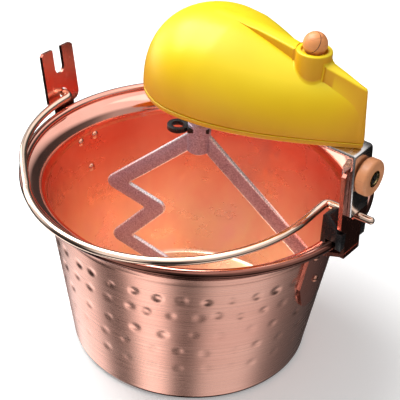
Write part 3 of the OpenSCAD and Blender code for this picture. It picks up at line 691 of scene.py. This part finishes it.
def housing():
    """Upper shell of the head with its spine, boss and hollow inside."""
    base = plan(0)
    centre = base[:, 2]
    reach = np.hypot(base[:, 0] - centre, base[:, 1])
    foot_r = np.minimum(spine_half(centre), 0.7 * reach)
    foot = np.arccos((foot_r / reach) ** (bulge(centre) / 2))
    edge = plan(0.5)
    edge_ring = np.stack([edge[:, 0], edge[:, 1], np.full(len(edge), PART_Z)], -1)
    outside = dome_rings(0, 44, math.radians(0.3), foot)
    last = outside[-1]
    step = spine_step(centre, last[:, 2] - PART_Z)
    fillet = np.minimum(1.6, 0.35 * step + 0.05)
    draft = 0.06 * (step - fillet)
    spine = [shrunk(last, centre, foot_r - draft, last[:, 2] + step - fillet)]
    for a in np.radians([22.5, 45, 67.5, 90]):
        spine.append(shrunk(last, centre, foot_r - draft - fillet * (1 - math.cos(a)),
                            last[:, 2] + step - fillet * (1 - math.sin(a))))
    top_r = foot_r - draft - fillet
    for share in (0.75, 0.5, 0.25, 0.0):
        spine.append(shrunk(last, centre, top_r * share, last[:, 2] + step + 0.5 * (1 - share**2)))
    inner = dome_rings(SHELL, 10, 0.0, np.full(len(base), math.radians(84)))
    inner_top = shrunk(inner[-1], centre, np.zeros(len(base)), inner[-1][:, 2] + 0.2)
    rings = [inner_top, *inner[::-1], edge_ring, *outside, *spine]
    points, faces = skin(rings)
    piece("housing_shell", [(points, faces, 0), (*boss(), 0)], [MATERIALS["yellow_plastic"]],
          "head", ["upper_housing"], sharp=40)


def cover():
    """Lower shell: rounded bottom edge, a shallow line round its underside, hollow inside."""
    steps = [(SHELL + 1, HEAD_Z + SHELL), (SHELL + 1, PART_Z - 0.1), (1.8, PART_Z - 0.1),
             (1.8, PART_Z - 0.9), (0.8, PART_Z - 1.0), (0.35, PART_Z - 1.4), (0.3, HEAD_Z + 1.9),
             (0.5, HEAD_Z + 1.2), (0.9, HEAD_Z + 0.6), (1.6, HEAD_Z + 0.15), (2.4, HEAD_Z),
             (6.0, HEAD_Z), (6.3, HEAD_Z + 0.5), (7.1, HEAD_Z + 0.5), (7.4, HEAD_Z)]
    rings = []
    for inset, height in steps:
        ring = plan(inset)
        rings.append(np.stack([ring[:, 0], ring[:, 1], np.full(len(ring), height)], -1))
    centre = plan(0)[:, 2]
    zero = np.zeros(len(centre))
    rings.append(shrunk(rings[-1], centre, zero, zero + HEAD_Z))
    rings.insert(0, shrunk(rings[0], centre, zero, zero + HEAD_Z + SHELL))
    points, faces = skin(rings)
    piece("cover_shell", [(points, faces, 0)], [MATERIALS["yellow_plastic"]],
          "head", ["lower_cover"], sharp=35)


# ---- wooden pieces ----------------------------------------------------------


def knob():
    """Turned disc with a rounded rim, a shallow dish in its outer face and a bore."""
    low, high = box_mm("clamp_knob")
    middle = (low + high) / 2
    radius, thick, bore, e = (high.z - low.z) / 2, high.x - low.x, 6.0, 2.6
    profile = [(bore, 0), (bore + 0.6, 0)] + arc((radius - e, e), e, -90, 0, 8)
    profile += arc((radius - e, thick - e), e, 0, 90, 8)
    profile += [(bore + 1.2, thick - 0.15), (bore, thick - 0.5)]
    shape = lathe(profile, 96, (low.x, middle.y, middle.z), "X", loop=True)
    piece("knob_turned", [(*shape, 0)], [MATERIALS["knob_wood"]], "knob", ["clamp_knob"])


def ball():
    """Ball with a fine turned groove; its underside is flat above the seat."""
    groove, half_gap, depth = 65.0, 1.7, 0.35
    profile, marks = [], []
    for a in [*np.linspace(0, groove - half_gap, 22), groove - half_gap / 2, groove, groove + half_gap / 2,
              *np.linspace(groove + half_gap, 180, 36)]:
        sunk = depth if abs(a - groove) < half_gap else 0
        angle = math.radians(a)
        profile.append(((BALL_R - sunk) * math.sin(angle), (BALL_R - sunk) * math.cos(angle)))
        marks.append(1 if sunk else 0)
    points, faces = lathe(profile, 96)
    face_marks = [max(marks[i], marks[i + 1]) for i in range(len(marks) - 1) for _ in range(96)]
    facing = Vector((-0.30, -0.80, 0.52)).normalized()
    turn = facing.to_track_quat("Z", "Y").to_matrix()
    centre = Vector((BOSS_X, 0, BALL_Z))
    points = [turn @ Vector(p) + centre for p in points]
    flat = BALL_Z - 7
    points = [Vector((p.x, p.y, max(p.z, flat))) for p in points]
    piece("ball_turned", [(points, faces, face_marks)], [MATERIALS["ball_wood"], GROOVE_DARK],
          "button", ["power_button"])


# ---- paddle -----------------------------------------------------------------


def paddle_edges():
    """Left and right edge of the bars at stations along the closed zigzag, corners rounded."""
    corners = [np.array(p, float) for p in ZIGZAG]
    count, stations, tuck = len(corners), 9, 2.4
    left, right = [], []
    for i, corner in enumerate(corners):
        d0 = corner - corners[i - 1]
        d1 = corners[(i + 1) % count] - corner
        d0, d1 = d0 / np.linalg.norm(d0), d1 / np.linalg.norm(d1)
        n0, n1 = np.array([-d0[1], d0[0]]), np.array([-d1[1], d1[0]])
        mitre = (n0 + n1) / (1 + n0 @ n1) * BAR_W / 2
        side = 1 if d0[0] * d1[1] - d0[1] * d1[0] > 0 else -1
        turned = math.acos(max(-1, min(1, float(n0 @ n1))))
        inner_corner = corner + side * mitre
        for k in range(stations):
            u = k / (stations - 1)
            a = side * turned * u
            n = np.array([n0[0] * math.cos(a) - n0[1] * math.sin(a),
                          n0[0] * math.sin(a) + n0[1] * math.cos(a)])
            outer = corner - side * n * BAR_W / 2
            p0, p2 = inner_corner - d0 * tuck, inner_corner + d1 * tuck
            inner = (1 - u) ** 2 * p0 + 2 * u * (1 - u) * inner_corner + u * u * p2
            left.append(inner if side > 0 else outer)
            right.append(outer if side > 0 else inner)
    return left, right


def paddle():
    """Cast zigzag frame with rounded, linished edges in a lighter colour that is a painted highlight, and
    its hub.
    """
    left, right = paddle_edges()
    half, r = BAR_T / 2, 1.1
    rounding = np.radians([0, 30, 60, 90])
    turn = math.radians(PADDLE_TURN)
    rings = []
    for a, b in zip(left, right, strict=True):
        width = np.linalg.norm(b - a)
        across = (b - a) / width
        section = [(r - r * math.cos(t), -half + r - r * math.sin(t)) for t in rounding]
        section += [(width - r + r * math.sin(t), -half + r - r * math.cos(t)) for t in rounding]
        section += [(width - r + r * math.cos(t), half - r + r * math.sin(t)) for t in rounding]
        section += [(r - r * math.sin(t), half - r + r * math.cos(t)) for t in rounding]
        ring = []
        for s, h in section:
            u, v = a + across * s
            ring.append((u * math.cos(turn) - h * math.sin(turn),
                         u * math.sin(turn) + h * math.cos(turn), v))
        rings.append(ring)
    points, faces = skin(rings, loop=True)
    sides = len(rings[0])
    # The two broad faces keep the casting; every edge face takes the linished material with its painted
    # highlight
    faces_of_bar = {3, 11}
    marks = [0 if i % sides in faces_of_bar else 1 for i in range(len(faces))]
    chamfer = 0.9
    hub = [(0, HUB_Z), (HUB_R - chamfer, HUB_Z), (HUB_R, HUB_Z + chamfer)]
    hub += [(HUB_R, HUB_Z + HUB_H - chamfer), (HUB_R - chamfer, HUB_Z + HUB_H), (HUB_BORE, HUB_Z + HUB_H),
            (HUB_BORE, HUB_Z + HUB_FLOOR), (0, HUB_Z + HUB_FLOOR)]
    hub_points, hub_faces = slotted(lathe(hub, 96))
    piece("paddle_cast", [(points, faces, marks), (hub_points, hub_faces, 0)],
          [MATERIALS["cast_aluminium"], BRIGHT_EDGE], "drive", ["paddle"], sharp=40)


def slotted(shape):
    """The hub with the latch's slot cut through it."""
    low, high = box_mm("paddle_clip")
    hub_mesh = bpy.data.meshes.new("hub_work")
    bm = cleaned([(*shape, 0)])
    bm.to_mesh(hub_mesh)
    bm.free()
    cutter_mesh = bpy.data.meshes.new("slot_work")
    bm = bmesh.new()
    bmesh.ops.create_cube(bm, size=1)
    place = (Matrix.Rotation(math.radians(CLIP_TURN), 4, "Z")
             @ Matrix.Translation((0, 0, (low.z + high.z) / 2))
             @ Matrix.Diagonal((SLOT_LENGTH, SLOT_WIDTH, high.z - low.z + SLOT_PLAY, 1)))
    bmesh.ops.transform(bm, matrix=place, verts=bm.verts)
    bm.to_mesh(cutter_mesh)
    bm.free()
    hub, cutter = bpy.data.objects.new("hub_work", hub_mesh), bpy.data.objects.new("slot_work", cutter_mesh)
    for o in (hub, cutter):
        bpy.context.scene.collection.objects.link(o)
    cut = hub.modifiers.new("slot", "BOOLEAN")
    cut.object, cut.operation, cut.solver = cutter, "DIFFERENCE", "EXACT"
    result = hub.evaluated_get(bpy.context.evaluated_depsgraph_get()).to_mesh()
    points = [tuple(v.co) for v in result.vertices]
    faces = [tuple(p.vertices) for p in result.polygons]
    for o in (hub, cutter):
        mesh = o.data
        bpy.data.objects.remove(o)
        bpy.data.meshes.remove(mesh)
    return points, faces


# ---- build ------------------------------------------------------------------

pot()
bail()
housing()
cover()
knob()
ball()
paddle()

ROUNDED = [("rim_saddle", 0.9, "pot"), ("mounting_bracket", 0.5, "head"), ("paddle_clip", 1.1, "clip"),
           ("cord_gland", 0.5, "head")]
slots = {row["node"]: row["material_slot"] for row in frame["record"]["subparts"]}
for node, width, body in ROUNDED:
    refined(node, width, body, slots[node], segments=3 if width > 1 else 2)

for node, slot in slots.items():
    target = frame["nodes"][node]
    target.data.materials.clear()
    target.data.materials.append(MATERIALS[slot])


# ---- stage ------------------------------------------------------------------

TARGET = Vector((0, 0, 0.1165))
VIEW_AZ, VIEW_EL, VIEW_DISTANCE, VIEW_ROLL = 36.6, 34.6, 0.885, 0.054
SENSOR, LENS, SHIFT = 36.0, 103.2, (0.0115, 0.01)
FLOOR_HALF, FLOOR_DROP = 8.0, 0.0003


def direction(azimuth, elevation):
    """Unit vector from the object towards an azimuth and elevation, in degrees."""
    a, e = math.radians(azimuth), math.radians(elevation)
    return Vector((math.sin(a) * math.cos(e), -math.cos(a) * math.cos(e), math.sin(e)))


def camera():
    """The photograph's view."""
    data = bpy.data.cameras.new("camera")
    data.sensor_width, data.lens = SENSOR, LENS
    data.shift_x, data.shift_y = SHIFT
    data.clip_start, data.clip_end = 0.02, 60
    made = bpy.data.objects.new("camera", data)
    bpy.context.scene.collection.objects.link(made)
    back = direction(VIEW_AZ, VIEW_EL)
    right = Vector((0, 0, 1)).cross(back).normalized()
    up = back.cross(right)
    c, s = math.cos(VIEW_ROLL), math.sin(VIEW_ROLL)
    tilted_right, tilted_up = right * c + up * s, up * c - right * s
    made.matrix_world = Matrix.Translation(TARGET + back * VIEW_DISTANCE) @ Matrix(
        (tilted_right, tilted_up, back)).transposed().to_4x4()
    bpy.context.scene.camera = made


def softbox(name, azimuth, elevation, distance, size, power):
    """Rectangular area light that looks at the object."""
    data = bpy.data.lights.new(name, "AREA")
    data.shape, data.size, data.size_y = "RECTANGLE", size[0], size[1]
    data.energy = power
    made = bpy.data.objects.new(name, data)
    bpy.context.scene.collection.objects.link(made)
    away = direction(azimuth, elevation)
    made.location = TARGET + away * distance
    made.rotation_mode = "QUATERNION"
    made.rotation_quaternion = away.to_track_quat("Z", "Y")


def floor():
    """Plain pale floor, just under the object."""
    mesh = bpy.data.meshes.new("floor")
    half = FLOOR_HALF
    corners = [(-half, -half, 0), (half, -half, 0), (half, half, 0), (-half, half, 0)]
    mesh.from_pydata(corners, [], [(0, 1, 2, 3)])
    material, tree, shader = blank("floor_pale")
    tree.links.new(ramp(tree, noise(tree, (3, 3, 3), 2), [(0.90, 0.90, 0.90), (0.93, 0.93, 0.93)]),
                   shader.inputs["Base Color"])
    shader.inputs["Roughness"].default_value = 0.8
    shader.inputs["Specular IOR Level"].default_value = 0.1
    shader.inputs["Emission Color"].default_value = (1, 1, 1, 1)
    shader.inputs["Emission Strength"].default_value = 0.25
    mesh.materials.append(material)
    made = bpy.data.objects.new("floor", mesh)
    made.location.z = -FLOOR_DROP
    made.visible_glossy = False
    bpy.context.scene.collection.objects.link(made)


# Brightness round the studio, by azimuth from the camera: lit screens with dark gaps between them
SCREENS = [(-180, 0.12), (-160, 0.4), (-142, 1.6), (-104, 1.4), (-88, 0.12), (-64, 0.10), (-50, 1.7),
           (-28, 1.5), (-14, 0.14), (4, 0.12), (22, 0.85), (68, 0.85), (88, 0.26), (110, 0.14), (150, 0.08)]
# How much of a screen shows, by the sine of the elevation: none straight down or just under the horizon
SHUTTER = [(-1.0, 0.02), (-0.96, 0.03), (-0.91, 1.0), (-0.72, 1.0), (-0.62, 0.06), (-0.25, 0.06),
           (-0.1, 0.6), (0.4, 0.6), (0.5, 0.35)]
CEILING = 1.15
GLOW = 0.34  # even light on matt surfaces


def levels(tree, value, stops):
    """Grey levels along a value from 0 to 1."""
    made = tree.nodes.new("ShaderNodeValToRGB")
    elements = made.color_ramp.elements
    while len(elements) < len(stops):
        elements.new(0.5)
    for element, (position, level) in zip(elements, sorted(stops), strict=True):
        element.position = position
        element.color = (level, level, level, 1)
    tree.links.new(value, made.inputs["Fac"])
    return made.outputs["Color"]


def studio(tree):
    """What polished metal sees in a direction: screens round the sides and a lit ceiling."""
    place = tree.nodes.new("ShaderNodeTexCoord")
    parts = tree.nodes.new("ShaderNodeSeparateXYZ")
    angle = tree.nodes.new("ShaderNodeMath")
    angle.operation = "ARCTAN2"
    tree.links.new(place.outputs["Generated"], parts.inputs["Vector"])
    tree.links.new(parts.outputs["Y"], angle.inputs[0])
    tree.links.new(parts.outputs["X"], angle.inputs[1])
    round_share = spread(tree, angle.outputs[0], -math.pi, math.pi)
    up_share = spread(tree, parts.outputs["Z"], -1, 1)
    sides = levels(tree, round_share, [(((VIEW_AZ + a + 90) / 360) % 1, level) for a, level in SCREENS])
    shutter = levels(tree, up_share, [((z + 1) / 2, level) for z, level in SHUTTER])
    shown = mix(tree, 1.0, sides, shutter, "MULTIPLY")
    return mix(tree, spread(tree, parts.outputs["Z"], 0.42, 0.62), shown, (CEILING, CEILING, CEILING))


def world():
    """Plain white to the camera, an even glow on matt surfaces, and the studio's screens in reflections."""
    made = bpy.data.worlds.new("studio")
    made.use_nodes = True
    tree = made.node_tree
    tree.nodes.clear()
    output = tree.nodes.new("ShaderNodeOutputWorld")
    path = tree.nodes.new("ShaderNodeLightPath")
    glow, plain, seen = (tree.nodes.new("ShaderNodeBackground") for _ in range(3))
    glow.inputs["Color"].default_value = (1, 1, 1, 1)
    glow.inputs["Strength"].default_value = GLOW
    plain.inputs["Color"].default_value = (1, 1, 1, 1)
    tree.links.new(studio(tree), seen.inputs["Color"])
    by_gloss, by_camera = tree.nodes.new("ShaderNodeMixShader"), tree.nodes.new("ShaderNodeMixShader")
    tree.links.new(path.outputs["Is Glossy Ray"], by_gloss.inputs[0])
    tree.links.new(glow.outputs[0], by_gloss.inputs[1])
    tree.links.new(seen.outputs[0], by_gloss.inputs[2])
    tree.links.new(path.outputs["Is Camera Ray"], by_camera.inputs[0])
    tree.links.new(by_gloss.outputs[0], by_camera.inputs[1])
    tree.links.new(plain.outputs[0], by_camera.inputs[2])
    tree.links.new(by_camera.outputs[0], output.inputs["Surface"])
    bpy.context.scene.world = made


camera()
floor()
world()
softbox("key_above", VIEW_AZ - 120, 60, 1.3, (1.1, 1.1), 22)
softbox("fill_overhead", VIEW_AZ, 80, 1.4, (1.4, 1.4), 4)
softbox("side_left", VIEW_AZ - 125, 15, 1.2, (0.6, 0.9), 2)
bpy.context.scene.view_settings.view_transform = "Standard"
